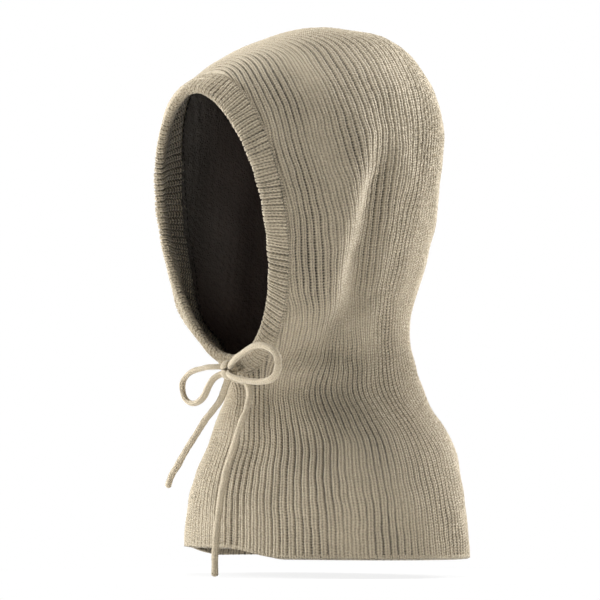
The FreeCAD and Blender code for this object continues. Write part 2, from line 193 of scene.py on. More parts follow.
def unit(vectors):
    """Vectors scaled to length one."""
    return vectors / np.maximum(np.linalg.norm(vectors, axis=-1, keepdims=True), 1e-9)


def run_length(points):
    """Distance along a line of points from its first one."""
    steps = np.linalg.norm(np.diff(points, axis=0), axis=1)
    return np.concatenate([[0], np.cumsum(steps)])


def along_ring(points):
    """Direction along a closed ring of points at each of them."""
    return np.roll(points, -1, axis=0) - np.roll(points, 1, axis=0)


def points_at(points, run, at):
    """Points at the given distances along a line of points."""
    return np.stack([np.interp(at, run, points[:, k]) for k in range(3)], 1)


def waves(a, b, lengths, count, seed):
    """Smooth repeatable unevenness from -1 to 1 over two coordinates."""
    rng = np.random.default_rng(seed)
    total = 0
    for _ in range(count):
        heading, phase = rng.uniform(0, math.tau, 2)
        reach = math.tau / rng.uniform(*lengths)
        total = total + np.sin((a * math.cos(heading) + b * math.sin(heading)) * reach + phase)
    return total / count ** 0.5


# ---- outer skin

DOME_KNOTS = np.sqrt(np.maximum(APEX_Z - SECTIONS[::-1, 0], 0))


def section(z):
    """Half width, half depth and centre reach of the outer skin at height z."""
    q = np.sqrt(np.maximum(APEX_Z - np.asarray(z, float), 0))
    table = SECTIONS[::-1]
    half_width = spline(DOME_KNOTS, table[:, 1], q)
    half_depth = spline(DOME_KNOTS, (table[:, 3] - table[:, 2]) / 2, q)
    centre = spline(DOME_KNOTS, (table[:, 3] + table[:, 2]) / 2, q)
    return np.maximum(half_width, 0), np.maximum(half_depth, 1e-6), centre


def side_x(y, z):
    """Distance from the centre plane to the skin at a point of the side view."""
    a, b, c = section(z)
    return a * np.sqrt(np.maximum(1 - ((y - c) / b) ** 2, 0))


def outside_skin(points):
    """Positive where a point is outside the plain outer skin."""
    a, b, c = section(np.minimum(points[..., 2], APEX_Z - 0.01))
    return (points[..., 0] / np.maximum(a, 1e-3)) ** 2 + ((points[..., 1] - c) / b) ** 2 - 1


def face_plane_distance(points):
    """Distance behind the plane where the hood meets the face band."""
    return ((points[..., 1] - ROOT["reach"]) * FACE_NORMAL[1]
            + (points[..., 2] - ROOT["height"]) * FACE_NORMAL[2])


# ---- soft folds

def fold_line(z):
    """Reach (y) of the flank of the big fold down the side of the head at each height."""
    return -23 + 18 * (np.maximum(z - 174, 0) / 108) ** 1.5


def fold_reach(z):
    """How strongly the fold down the side of the head shows at each height."""
    return smooth((z - 150) / 40) * smooth((335 - z) / 75)


def off_centre(x):
    """0 on the centre plane, 1 on the sides."""
    return smooth(np.abs(x) / 40)


def side_fold(x, y, z):
    """The big fold: a crest in front of its line and a valley behind it, weaker on the wearer's right."""
    off_line = y - fold_line(z)
    fold = 6.6 * bump(off_line + 16, 15) - 6.0 * bump(off_line - 12, 14) - 1.2 * bump(off_line + 48, 16)
    return fold * fold_reach(z) * off_centre(x) * np.where(x > 0, 1.0, 0.75)


def band_hollow(grid):
    """Shallow hollow that runs along behind the face band."""
    x, z = grid[..., 0], grid[..., 2]
    return -1.3 * bump(face_plane_distance(grid) - 14, 9) * smooth((z - 200) / 60) * off_centre(x)


def neck_creases(x, y, z):
    """One crease round the neck with a swell below it."""
    crease = bump(z - 150 + 0.22 * (y + 30), 7)
    swell = 0.8 * bump(z - 136 + 0.15 * (y + 30), 8)
    return -1.5 * (crease - swell) * bump(y + 22, 34) * off_centre(x)


def shoulder_fullness(x, y, z):
    """Extra fabric over the back of the shoulders."""
    return 2.0 * bump(z - 92, 14) * bump(np.abs(x) - 62, 26) * smooth((y - 10) / 40)


def unevenness(x, y, z):
    """Long and short unevenness of the fabric, none at the hem."""
    long_waves = 0.9 * waves(y + 0.4 * x, z, (45, 110), 7, seed=11)
    short_waves = 0.35 * waves(y - 0.3 * x, z, (16, 34), 7, seed=13)
    return (long_waves + short_waves) * smooth(z / 25)


def soft_folds(grid):
    """Height of the large soft folds of the fabric, positive outwards."""
    x, y, z = grid[..., 0], grid[..., 1], grid[..., 2]
    folds = side_fold(x, y, z) + band_hollow(grid) + neck_creases(x, y, z)
    return folds + shoulder_fullness(x, y, z) + unevenness(x, y, z)


def stretch(grid):
    """Share of the rib depth left on the flank of the fold, where the fabric is pulled smooth."""
    x, y, z = grid[..., 0], grid[..., 1], grid[..., 2]
    return 1 - 0.75 * bump(y - fold_line(z) + 3, 10) * fold_reach(z) * off_centre(x)


def hem_lift(grid):
    """Lift of the hem at the front, towards the wearer's right, fading out upwards."""
    x, y, z = grid[..., 0], grid[..., 1], grid[..., 2]
    return 6.5 * smooth((52 - x) / 56) * smooth((16 - y) / 46) * smooth((60 - z) / 60)


# ---- rib paths

def top_profile():
    """Centre line over the crown as reach and height, its run, and the run where the ribs start."""
    front = np.linspace(-math.sqrt(APEX_Z - 215), 0, 500)
    back = np.linspace(0, math.sqrt(APEX_Z - BACK_POLE_Z), 300)[1:]
    off_apex = np.concatenate([front, back])
    z = APEX_Z - off_apex ** 2
    _, b, c = section(z)
    line = np.stack([np.where(off_apex > 0, c + b, c - b), z], 1)
    run = run_length(line)
    return line, run, np.interp(BAND_TOP_Z, z[:len(front)], run[:len(front)])


TOP_LINE, TOP_RUN, TOP_START = top_profile()


def rib_angle(s, z):
    """Angle round the section from the front; ribs crowd past the face edge above the chin."""
    even = math.pi * s
    crowded = np.where(s < SEAM_SHARE, FACE_EDGE * s / SEAM_SHARE,
                       FACE_EDGE + (math.pi - FACE_EDGE) * (s - SEAM_SHARE) / (1 - SEAM_SHARE))
    share = smooth((z - CROWD_Z[0]) / (CROWD_Z[1] - CROWD_Z[0]))
    return even * (1 - share) + crowded * share


def gathered(y, z):
    """Ribs in front of the fold lean back as they run down, and close up where they enter it."""
    _, b, c = section(z)
    share = smooth((305 - z) / 85) * smooth((z - 105) / 85) * smooth((y - c + b) / 45)
    past_line = np.maximum(y - fold_line(z) + 22, 0)
    return y + 13 * share * bump(past_line, 21)


def rib_below(s, rows):
    """One rib on the wearer's left, from the hem up the side of the head."""
    z = np.linspace(0, SPREAD_Z, rows)
    _, b, c = section(z)
    y = gathered(c - b * np.cos(rib_angle(s, z)), z)
    return np.stack([side_x(y, z), y, z], 1)


def rib_top(s):
    """Reach and height where a rib meets the centre line."""
    share = (s - SEAM_SHARE) / (1 - SEAM_SHARE)
    if share >= 0:
        position = TOP_START + (TOP_RUN[-1] - TOP_START) * (1 - (1 - share) ** 1.12)
    else:
        position = TOP_START * s / SEAM_SHARE
    return np.interp(position, TOP_RUN, TOP_LINE[:, 0]), np.interp(position, TOP_RUN, TOP_LINE[:, 1])


def rib_above(s, rows):
    """The same rib on to the centre line over the crown, leaning as a hoop, in even steps."""
    y_top, z_top = rib_top(s)
    ease = 1 - (1 - np.linspace(0, 1, 400)) ** 2
    z = SPREAD_Z + (z_top - SPREAD_Z) * ease
    _, b, c = section(z)
    _, b_top, c_top = section(z_top)
    cosine = math.cos(rib_angle(s, SPREAD_Z))
    lean = y_top - (c_top - b_top * cosine)
    lean_power = 1.35 + 1.6 * s ** 3
    y = c - b * cosine + lean * ((z - SPREAD_Z) / (z_top - SPREAD_Z)) ** lean_power
    y = gathered(y, z)
    x = side_x(y, z)
    x[-1] = 0
    dense = np.stack([x, y, z], 1)
    run = run_length(dense)
    return points_at(dense, run, np.linspace(0, run[-1], rows + 1)[1:])


def rib_shares():
    """Positions across the ribs of one side, each rib sampled at the same phases."""
    shares = [(rib + phase) / RIBS_PER_SIDE for rib in range(RIBS_PER_SIDE) for phase in RIB_PHASES]
    return np.array(shares + [1.0])


def sheet(shares, lower_rows, upper_rows):
    """Grid of points over the crown: one line per share, from the left hem to the right hem."""
    left = np.stack([np.concatenate([rib_below(s, lower_rows), rib_above(s, upper_rows)]) for s in shares])
    right = left[:, -2::-1].copy()
    right[..., 0] *= -1
    return np.concatenate([left, right], 1)


def grid_normals(grid):
    """Outward unit normals of a grid of points."""
    normal = unit(np.cross(np.gradient(grid, axis=1), np.gradient(grid, axis=0)))
    # outward is away from the upright axis of the head, and upwards over the crown
    outward = grid - np.array([0.0, 5.0, 250.0])
    outward[..., 2] = np.maximum(outward[..., 2], 0)
    flip = np.sum(normal * outward, axis=2, keepdims=True) < 0
    normal = np.where(flip, -normal, normal)
    # normals on the centre line lie in the centre plane
    normal[:, grid.shape[1] // 2, 0] = 0
    return unit(normal)


COLUMN_SHIFT = RNG.uniform(0, 1, 997)   # where the stitches of each column start


def column_start(u):
    """Shift of the stitches along the column at rib coordinate u."""
    return COLUMN_SHIFT[np.floor(u).astype(int) % len(COLUMN_SHIFT)]


def rib_relief(u, v, seed):
    """Height of the rib columns in mm, and the depth of the painted shade between them.

    Each column is two strands, the legs of its stitches, with a dotted notch between them.
    """
    phase = u - np.floor(u)
    off_groove = np.minimum(phase, 1 - phase)
    leg = np.abs(phase - 0.5)
    stitch = np.cos(math.tau * (v + 0.8 * leg))
    uneven = waves(u * 2.1, v * 0.25, (5, 24), 7, seed)
    column = 1 - bump(off_groove, 0.15 * (1 + 0.3 * stitch + 0.15 * uneven))
    notch = bump(leg, 0.09) * (0.65 + 0.35 * stitch)
    strand = np.cos(math.tau * (leg - 0.25))
    depth = RIB_DEPTH * (1 + 0.25 * uneven)
    height = (column - 1) * depth + 0.16 * strand * column - 0.66 * notch + 0.05 * stitch * column
    return height, (1 - column) * (0.85 + 0.3 * uneven)


# ---- meshes

def add_object(name, data):
    """Object in the scene that holds a mesh, a lamp or a camera."""
    obj = bpy.data.objects.new(name, data)
    bpy.context.scene.collection.objects.link(obj)
    return obj


def mesh_object(name, vertices, faces, material, knit):
    """Mesh from mm coordinates; knit holds rib coordinate, stitch coordinate and painted groove shade."""
    mesh = bpy.data.meshes.new(name)
    vertices = np.asarray(vertices, float).reshape(-1, 3) * MM
    faces = np.asarray(faces, np.int32)
    mesh.vertices.add(len(vertices))
    mesh.vertices.foreach_set("co", vertices.astype(np.float32).ravel())
    mesh.loops.add(faces.size)
    mesh.loops.foreach_set("vertex_index", faces.ravel())
    mesh.polygons.add(len(faces))
    mesh.polygons.foreach_set("loop_start", np.arange(0, faces.size, faces.shape[1], dtype=np.int32))
    mesh.polygons.foreach_set("loop_total", np.full(len(faces), faces.shape[1], np.int32))
    mesh.update(calc_edges=True)
    attribute = mesh.attributes.new("knit", "FLOAT_VECTOR", "POINT")
    attribute.data.foreach_set("vector", np.asarray(knit, np.float32).ravel())
    mesh.polygons.foreach_set("use_smooth", np.full(len(faces), True))
    mesh.validate()
    mesh.materials.append(material)
    return add_object(name, mesh)


def grid_faces(rows, columns, close_rows=False, close_columns=False, base=0):
    """Quads of a grid numbered row by row."""
    i = np.arange(rows if close_rows else rows - 1)
    j = np.arange(columns if close_columns else columns - 1)
    i, j = np.meshgrid(i, j, indexing="ij")
    i2, j2 = (i + 1) % rows, (j + 1) % columns
    quads = np.stack([i * columns + j, i2 * columns + j, i2 * columns + j2, i * columns + j2], -1)
    return quads.reshape(-1, 4) + base


def drop_unused(vertices, faces, knit):
    """The same mesh without the vertices no face uses."""
    used = np.unique(faces)
    renumber = np.full(len(vertices), -1)
    renumber[used] = np.arange(len(used))
    return vertices[used], renumber[faces], knit[used]


def weld(obj):
    """Joins vertices that lie on each other."""
    work = bmesh.new()
    work.from_mesh(obj.data)
    bmesh.ops.remove_doubles(work, verts=work.verts, dist=0.01 * MM)
    work.to_mesh(obj.data)
    work.free()


def close_ends(obj, first_ring, first_tip, last_ring, last_tip):
    """Closes both ends of a tube with fans of triangles from a tip to the end ring."""
    work = bmesh.new()
    work.from_mesh(obj.data)
    work.verts.ensure_lookup_table()
    for ring, tip, way in ((first_ring, first_tip, -1), (last_ring, last_tip, 1)):
        for k in range(len(ring)):
            corners = (tip, ring[k], ring[(k + 1) % len(ring)])[::way]
            made = work.faces.new([work.verts[int(corner)] for corner in corners])
            made.smooth = True
    bmesh.ops.recalc_face_normals(work, faces=work.faces)
    work.to_mesh(obj.data)
    work.free()


# ---- materials

def connect(tree, made, inputs):
    """Sets or links inputs of a node."""
    for key, value in inputs.items():
        if isinstance(value, bpy.types.NodeSocket):
            tree.links.new(value, made.inputs[key])
        else:
            made.inputs[key].default_value = value
    return made


def node(tree, kind, inputs, **settings):
    """Shader node with its settings and inputs."""
    made = tree.nodes.new(kind)
    for key, value in settings.items():
        setattr(made, key, value)
    return connect(tree, made, inputs)


def source(tree, kind, output, **settings):
    """Output of a node without inputs."""
    return node(tree, kind, {}, **settings).outputs[output]


def math_node(tree, operation, first, second=0.0, third=0.0):
    return node(tree, "ShaderNodeMath", {0: first, 1: second, 2: third}, operation=operation).outputs[0]


def product(tree, first, second):
    return math_node(tree, "MULTIPLY", first, second)


def map_range(tree, value, low, high, to_low=0.0, to_high=1.0):
    return node(tree, "ShaderNodeMapRange", {0: value, 1: low, 2: high, 3: to_low, 4: to_high}).outputs[0]


def noise(tree, scale, detail):
    place = source(tree, "ShaderNodeTexCoord", "Object")
    return node(tree, "ShaderNodeTexNoise", {"Vector": place, "Scale": scale, "Detail": detail}).outputs[0]


def knit_values(tree):
    """Rib coordinate, stitch coordinate and painted groove shade stored on the mesh; on the fleece, painted
    light.
    """
    knit = source(tree, "ShaderNodeAttribute", "Vector", attribute_name="knit")
    return node(tree, "ShaderNodeSeparateXYZ", {0: knit}).outputs


def mix_colour(tree, factor, first, second):
    return node(tree, "ShaderNodeMix", {0: factor, 6: first, 7: second}, data_type="RGBA").outputs[2]


def shade(colour, factor):
    """Lighter or darker version of a colour, with alpha."""
    return tuple(min(1.0, channel * factor) for channel in colour[:3]) + (1.0,)


def new_material(name):
    material = bpy.data.materials.new(name)
    material.use_nodes = True
    tree = material.node_tree
    return material, tree, tree.nodes["Principled BSDF"]


def wool(name, base, stitch_bump=0.3, painted_groove_shade=1.0, notch_shade=0.8, sheen=0.35):
    """Matt wool: fibre flecks, uneven dye, V stitches, painted shade in the stitch gaps, notches and dashed
    grooves, a painted highlight on the strands and a soft halo.
    """
    material, tree, shader = new_material(name)
    helpers = (math_node, product, map_range, mix_colour, noise)
    maths, times, ranged, mix, texture = (partial(helper, tree) for helper in helpers)
    u, v, depth = knit_values(tree)
    cloud = texture(22.0, 3.0)
    fleck = texture(520.0, 3.0)
    fibre = texture(1500.0, 2.0)

    # V stitches: two slanting legs a column, parted by a dotted line of painted shade down the middle
    phase = maths("FRACT", u)
    leg = maths("ABSOLUTE", maths("SUBTRACT", phase, 0.5))
    slant = maths("MULTIPLY_ADD", leg, 0.8, v)
    wave = maths("SINE", times(slant, math.tau))
    stitch = maths("MULTIPLY_ADD", wave, 0.5, 0.5)
    # painted shade in the gaps between stitches
    gap = maths("POWER", maths("SUBTRACT", 1.0, stitch), 2.0)
    middle = ranged(leg, 0.0, 0.15, 1.0, 0.0)
    dotted = times(middle, maths("MULTIPLY_ADD", gap, 0.75, 0.25))
    # painted highlight along the crest of each strand
    off_strand = maths("ABSOLUTE", maths("SUBTRACT", leg, 0.25))
    strand = ranged(off_strand, 0.02, 0.13, 0.5, 0.0)

    # colour: uneven dye, pale flecks, painted highlight on the strands, dark fibres, and painted shade in
    # the gaps, in dots and dashed along the grooves
    tone = mix(cloud, shade(base, 0.92), shade(base, 1.08))
    pale_fleck = times(ranged(fleck, 0.36, 0.64), 0.42)
    tone = mix(pale_fleck, tone, shade(base, 1.45))
    tone = mix(strand, tone, shade(base, 1.35))
    dark_fibre = times(ranged(fibre, 0.62, 0.36), 0.42)
    tone = mix(dark_fibre, tone, shade(base, 0.45))
    tone = mix(times(gap, 0.05), tone, shade(base, 0.35))
    tone = mix(times(dotted, notch_shade), tone, shade(base, 0.22))
    # painted shade along the grooves, dashed by the stitches and the flecks
    dashed = maths("MULTIPLY_ADD", stitch, -0.75, 0.70)
    dashed = maths("MULTIPLY_ADD", ranged(fleck, 0.3, 0.7), 0.6, dashed)
    dark_groove = times(times(dashed, depth), painted_groove_shade)
    tone = mix(dark_groove, tone, shade(base, 0.10))

    height = times(stitch, stitch_bump)
    height = maths("MULTIPLY_ADD", fleck, 0.9, height)
    height = maths("MULTIPLY_ADD", fibre, 0.55, height)
    pile = node(tree, "ShaderNodeBump", {"Height": height, "Strength": 0.9, "Distance": 0.0009}).outputs[0]
    rough = ranged(fleck, 0.0, 1.0, 0.82, 0.98)
    connect(tree, shader, {
        "Base Color": tone, "Normal": pile, "Roughness": rough, "Specular IOR Level": 0.12,
        "Sheen Weight": sheen, "Sheen Roughness": 0.5, "Sheen Tint": (1.0, 0.97, 0.9, 1.0)})
    return material


def fleece(name, base, opening_light_colour):
    """Dark brushed fleece with a mottled pile, and painted light that makes it paler near the face opening.
    """
    material, tree, shader = new_material(name)
    pile = noise(tree, 700.0, 4.0)
    cloud = noise(tree, 45.0, 3.0)
    opening_light = knit_values(tree)[2]
    tone = mix_colour(tree, pile, shade(base, 0.55), shade(base, 1.6))
    tone = mix_colour(tree, product(tree, cloud, 0.4), tone, shade(base, 1.9))
    tone = mix_colour(tree, opening_light, tone, opening_light_colour)
    lumps = node(tree, "ShaderNodeBump", {"Height": pile, "Strength": 0.9, "Distance": 0.0012}).outputs[0]
    connect(tree, shader, {
        "Base Color": tone, "Normal": lumps, "Roughness": 1.0, "Specular IOR Level": 0.05})
    return material


def white_floor():
    """White to the camera, with only a faint shade close round the hem."""
    material, tree, shader = new_material("pale_floor")
    connect(tree, shader, {"Base Color": (0.93, 0.93, 0.93, 1), "Roughness": 0.9})
    glow = node(tree, "ShaderNodeEmission", {"Color": (1, 1, 1, 1), "Strength": 1.0}).outputs[0]
    place = source(tree, "ShaderNodeTexCoord", "Object")
    off_axis = node(tree, "ShaderNodeVectorMath", {0: place}, operation="LENGTH").outputs["Value"]
    seen = source(tree, "ShaderNodeLightPath", "Is Camera Ray")
    share = product(tree, seen, map_range(tree, off_axis, 0.10, 0.26, 0.86, 1.0))
    blend = node(tree, "ShaderNodeMixShader", {0: share, 1: shader.outputs[0], 2: glow}).outputs[0]
    connect(tree, tree.nodes["Material Output"], {"Surface": blend})
    return material


OAT = (0.445, 0.378, 0.272)
KNIT = wool("oat_rib_knit", OAT)
BAND_KNIT = wool("oat_band_knit", OAT, painted_groove_shade=0.75)
CORD = wool("oat_cord_knit", shade(OAT, 1.10), stitch_bump=0.15, painted_groove_shade=0.25, notch_shade=0.15)
YARN = wool("oat_yarn", shade(OAT, 0.95), painted_groove_shade=0.4, notch_shade=0.0)
# the last colour is the painted light near the face opening
LINING = fleece("dark_fleece", (0.062, 0.048, 0.042), (0.115, 0.110, 0.098, 1.0))
THREAD = wool("dark_thread", (0.030, 0.024, 0.020), painted_groove_shade=0.3, sheen=0.05)


# ---- where the pieces go

NECK_TWIST = ((0, NECK_AXIS_Y * MM, 0.078), (0, NECK_AXIS_Y * MM, 0.150))


def place(piece, slot, body, *nodes):
    """Puts a piece in the place of CAD nodes, on one body."""
    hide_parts(*nodes)
    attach(piece, body)


def place_across(piece, slot, bodies, span, *nodes):
    """Puts a piece in the place of CAD nodes and bakes its transform into its mesh."""
    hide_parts(*nodes)
    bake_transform(piece)


# ---- knitted body

HEM_ROLL = ((0.0, 0.0), (1.4, -0.8), (2.8, -0.8), (3.7, 0.4))   # depth and sag of the rows turned in
INNER_STEP = 6                                                  # further in, every sixth row is enough


def body_coordinates(base, shares):
    """Rib coordinate and stitch coordinate at each point of the body sheet."""
    rows = base.shape[1]
    steps = np.linalg.norm(np.diff(base[:, :rows // 2 + 1], axis=1), axis=2)
    run = np.concatenate([np.zeros((len(shares), 1)), np.cumsum(steps, axis=1)], 1)
    run = np.concatenate([run, run[:, -2::-1]], 1)
    u = np.repeat((shares * RIBS_PER_SIDE)[:, None], rows, 1)
    side = np.sign(base[..., 0])
    wander = 0.22 * waves(base[..., 1] + 300 * side, base[..., 2], (30, 90), 6, seed=5)
    v = run / STITCH_MM + 3 * side + wander + column_start(u + 200 * (side > 0))
    return u, v


def column_drift(base, u):
    """Sideways wander of the columns, none at the edges of the sheet and on the centre line."""
    side = np.sign(base[..., 0])
    drift = 0.45 * waves(base[..., 2], u * 5 + 90 * side, (40, 120), 6, seed=9)
    drift += 0.22 * waves(base[..., 2], u * 4 + 50 * side, (9, 26), 8, seed=10)
    edge_fade = smooth(u / 3) * smooth((RIBS_PER_SIDE - u) / 3) * smooth(base[..., 2] / 20)
    centre_fade = smooth(np.abs(base[..., 0]) / 12)
    return unit(np.gradient(base, axis=0)) * (drift * edge_fade * centre_fade)[..., None]


def end_at_face(base, outer):
    """Vertices and faces of the outer skin, with its front edge brought onto the face plane."""
    distance = face_plane_distance(base).reshape(-1)
    in_front = (distance <= -FACE_OVERLAP) & (base[..., 2].reshape(-1) > BELOW_CHIN_Z)
    faces = grid_faces(*base.shape[:2])
    faces = faces[~np.all(in_front[faces], axis=1)]
    push = np.where(in_front, -FACE_OVERLAP - distance, 0.0)
    return outer.reshape(-1, 3) + push[:, None] * FACE_NORMAL, faces


def inside_of_knit(base, normal, outer, relief):
    """Inner side of the knit over some rows of the sheet, rolled in from the hem, and its faces.

    It is kept only in the bib and in the strip in front of the lining.
    """
    further = base.shape[1] - len(HEM_ROLL)
    depth = np.array([row[0] for row in HEM_ROLL] + [KNIT_MM] * further)
    sag = np.array([row[1] for row in HEM_ROLL] + [0.0] * further)
    inwards = soft_folds(base) - depth - 0.5 - relief * 0.6
    skin = base + normal * inwards[..., None]
    for row in (1, 2):
        skin[:, row] = outer[:, 0] - normal[:, 0] * depth[row]
    skin[..., 2] += hem_lift(base) + sag
    skin[:, 0] = outer[:, 0]
    z = base[..., 2]
    behind = face_plane_distance(base)
    shown = ((z < 142) | (behind < 4)) & ((behind > -FACE_OVERLAP) | (z < BELOW_CHIN_Z))
    faces = grid_faces(*base.shape[:2])
    return skin.reshape(-1, 3), faces[np.all(shown.reshape(-1)[faces], axis=1)]


def make_body():
    """Outer knit from hem to crown, turned in at the hem and carried up the inside to the lining."""
    shares = rib_shares()
    base = sheet(shares, LOWER_ROWS, UPPER_ROWS)
    normal = grid_normals(base)
    u, v = body_coordinates(base, shares)
    relief, painted_groove_shade = rib_relief(u, v, seed=21)
    rib_share = stretch(base)
    relief = relief * rib_share + GRAIN * RNG.standard_normal(relief.shape)
    # the painted groove shade is lessened with the rib depth on the fold's flank
    painted_groove_shade = painted_groove_shade * rib_share

    # the knit tucks under the band at its front edge
    behind = np.maximum(face_plane_distance(base), 0)
    tuck = -1.8 * bump(behind, 2.6) * (base[..., 2] > BELOW_CHIN_Z)
    outer = base + normal * (soft_folds(base) + relief + tuck)[..., None]
    outer[..., 2] += hem_lift(base)
    outer += column_drift(base, u)
    vertices, faces = end_at_face(base, outer)
    knit = np.stack([u, v, painted_groove_shade], -1)
    values = knit.reshape(-1, 3)

    rows = base.shape[1]
    half = rows // 2
    inner_rows = np.unique(np.concatenate([
        np.arange(len(HEM_ROLL)), np.arange(INNER_STEP, half + 1, INNER_STEP), [half]]))
    for pick in (inner_rows, rows - 1 - inner_rows):
        inner, inner_faces = inside_of_knit(base[:, pick], normal[:, pick], outer[:, pick], relief[:, pick])
        faces = np.concatenate([faces, inner_faces + len(vertices)])
        vertices = np.concatenate([vertices, inner])
        values = np.concatenate([values, knit[:, pick].reshape(-1, 3)])

    vertices, faces, values = drop_unused(vertices, faces, values)
    body = mesh_object("knit_body", vertices, faces, KNIT, values)
    weld(body)
    return body


# ---- face band

def band_ring(share):
    """Centre, upward half axis and sideways half axis of the band ellipse at a share of its width."""
    def mix(word):
        return ROOT[word] * (1 - share) + FOLD[word] * share
    tilt = math.radians(mix("tilt"))
    up = np.array([0, -math.sin(tilt), math.cos(tilt)]) * mix("half_height")
    return np.array([0, mix("reach"), mix("height")]), up, np.array([1.0, 0, 0]) * mix("half_width")


def even_angles(count):
    """Angles that space points evenly along the band's middle ellipse, from the chin round."""
    _, up, across = band_ring(0.5)
    dense = np.linspace(0, math.tau, 4001)
    speed = np.hypot(np.linalg.norm(up) * np.sin(dense), np.linalg.norm(across) * np.cos(dense))
    run = np.concatenate([[0], np.cumsum((speed[1:] + speed[:-1]) / 2)])
    return np.interp(np.linspace(0, run[-1], count + 1)[:-1], run, dense)


def band_frame(angles):
    """Root point, direction to the fold, outward normal and width of the band at each angle."""
    # the ring is a little flatter than an ellipse at its upper corners
    from_chin = math.pi - np.abs(angles - math.pi)
    corner = bump(from_chin - math.radians(148), math.radians(26))[:, None]

    def points(share):
        centre, up, across = band_ring(share)
        squeeze = 1 - 0.016 * share * corner
        return centre + (np.sin(angles)[:, None] * across - np.cos(angles)[:, None] * up) * squeeze
    root, fold = points(0.0), points(1.0)
    width = np.linalg.norm(fold - root, axis=1)
    direction = (fold - root) / width[:, None]
    normal = unit(np.cross(direction, along_ring(root)))
    middle = np.array([0, ROOT["reach"] + 60, ROOT["height"]])
    normal *= np.sign(np.sum(normal * (root - middle), axis=1))[:, None]
    return root, direction, normal, width


def skin_lift(root, direction, normal, behind):
    """Height of the outer skin over the band's own line, at a distance behind the band's root."""
    low = np.full(len(root), -24.0)
    high = np.full(len(root), 8.0)
    base = root - direction * behind
    for _ in range(24):
        middle = (low + high) / 2
        out = outside_skin(base + normal * middle[:, None]) > 0
        high = np.where(out, middle, high)
        low = np.where(out, low, middle)
    return low + soft_folds(base + normal * low[:, None])


def band_profile(root, direction, normal, width):
    """Rows of the band from its seam over the fold to the end of the facing inside the hood.

    Each row is a distance from the seam towards the fold, a height over the band's line and
    how strongly the ribs show.
    """
    half = BAND_THICK / 2
    flat = np.ones(len(root))
    # at its root the band follows the skin of the hood, and eases onto its own line towards the fold
    seam = skin_lift(root, direction, normal, 0.0)
    rows = [(-0.9 * flat, seam - 2.6, 0.2), (-0.75 * flat, seam - 1.0, 1.0)]
    for share in np.linspace(0.0, 1.0, 16):
        puff = 0.45 + 0.8 * math.sin((0.12 + 0.88 * share) * math.pi)
        rows.append((share * (width - half), puff + seam * (1 - smooth(share / 0.8)), 1.0))
    for angle in np.linspace(math.pi / 2, -math.pi / 2, 12)[1:-1]:
        reach = width - half + half * math.cos(angle) * 1.05
        rows.append((reach, (-half + half * math.sin(angle) + 0.25 * math.cos(angle)) * flat, 1.0))
    for share in np.linspace(1.0, 0.05, 12):
        rows.append((share * (width - half), seam * (1 - smooth(share / 0.8)) - BAND_THICK, 0.75))
    for behind in np.linspace(1.2, FACING_MM, 16):
        settle = smooth(behind / 4)
        lift = skin_lift(root, direction, normal, behind) - FACING_DEPTH
        rows.append((-behind * flat, lift * settle + (seam - BAND_THICK) * (1 - settle), 0.7))
    reach, lift, rib_share = zip(*rows)
    return np.stack(reach, 1), np.stack(lift, 1), np.array(rib_share)


def make_band():
    """Double band folded at the face edge, ribs square to the edge, carried on as the facing inside."""
    share = ((np.arange(BAND_RIBS)[:, None] + np.array(RIB_PHASES)) / BAND_RIBS).ravel()
    fine = even_angles(BAND_RIBS * 20)
    angles = np.interp(share * len(fine), np.arange(len(fine) + 1), np.append(fine, math.tau))
    root, direction, normal, width = band_frame(angles)
    reach, lift, rib_share = band_profile(root, direction, normal, width)
    steps = np.hypot(np.diff(reach), np.diff(lift))
    run = np.concatenate([np.zeros((len(share), 1)), np.cumsum(steps, 1)], 1)
    u = np.repeat((share * BAND_RIBS)[:, None], reach.shape[1], 1)
    v = run / BAND_STITCH_MM + column_start(u)
    relief, painted_groove_shade = rib_relief(u, v, seed=31)
    relief = relief * rib_share * 0.85 + 0.35 * waves(u * 3, run, (14, 60), 6, seed=33)
    relief += GRAIN * RNG.standard_normal(relief.shape)

    # the ribs stand square to the profile
    d_reach = np.gradient(reach, axis=1)
    d_lift = np.gradient(lift, axis=1)
    size = np.hypot(d_reach, d_lift)
    reach = reach - d_lift / size * relief
    lift = lift + d_reach / size * relief
    sway = 0.35 * waves(u * 2.4, run, (10, 40), 6, seed=35)
    tangent = np.cross(normal, direction)
    points = (root[:, None] + direction[:, None] * reach[..., None] + normal[:, None] * lift[..., None]
              + tangent[:, None] * sway[..., None])

    # painted shade deepens along the facing as it runs back under the fleece
    past_fold = run - (width + BAND_THICK)[:, None]
    painted_groove_shade = painted_groove_shade + 1.4 * smooth((past_fold - 7) / 18)
    knit = np.stack([u, v, painted_groove_shade], -1)
    faces = grid_faces(*reach.shape, close_rows=True)
    return mesh_object("face_band_knit", points, faces, BAND_KNIT, knit.reshape(-1, 3))


# ---- cords, yarns and threads

CORD_COLUMNS = 6           # rib columns round the cord
CORD_SIDES = 36
CORD_STEP = 0.55
CORD_STITCH_MM = 2.1
CORD_END = 1.2             # length over which an end rounds off
YARN_SIDES = 12
THREAD_SIDES = 8
THREAD_RINGS = 7


def resample(points, step):
    """Even points along a smooth curve through the given ones."""
    points = np.asarray(points, float)
    run = run_length(points)
    dense = np.linspace(0, run[-1], 1200)
    curve = np.stack([spline(run, points[:, k], dense) for k in range(3)], 1)
    run = run_length(curve)
    return points_at(curve, run, np.linspace(0, run[-1], max(3, int(run[-1] / step))))


def travelling_frames(curve, flat_way, closed=False):
    """Width direction and thickness direction along a curve, turning as little as possible."""
    tangent = unit(along_ring(curve) if closed else np.gradient(curve, axis=0))
    flat = np.empty_like(curve)
    way = np.asarray(flat_way, float)
    for k, heading in enumerate(tangent):
        way = way - heading * np.dot(way, heading)
        way /= np.linalg.norm(way)
        flat[k] = way
    return np.cross(tangent, flat), flat


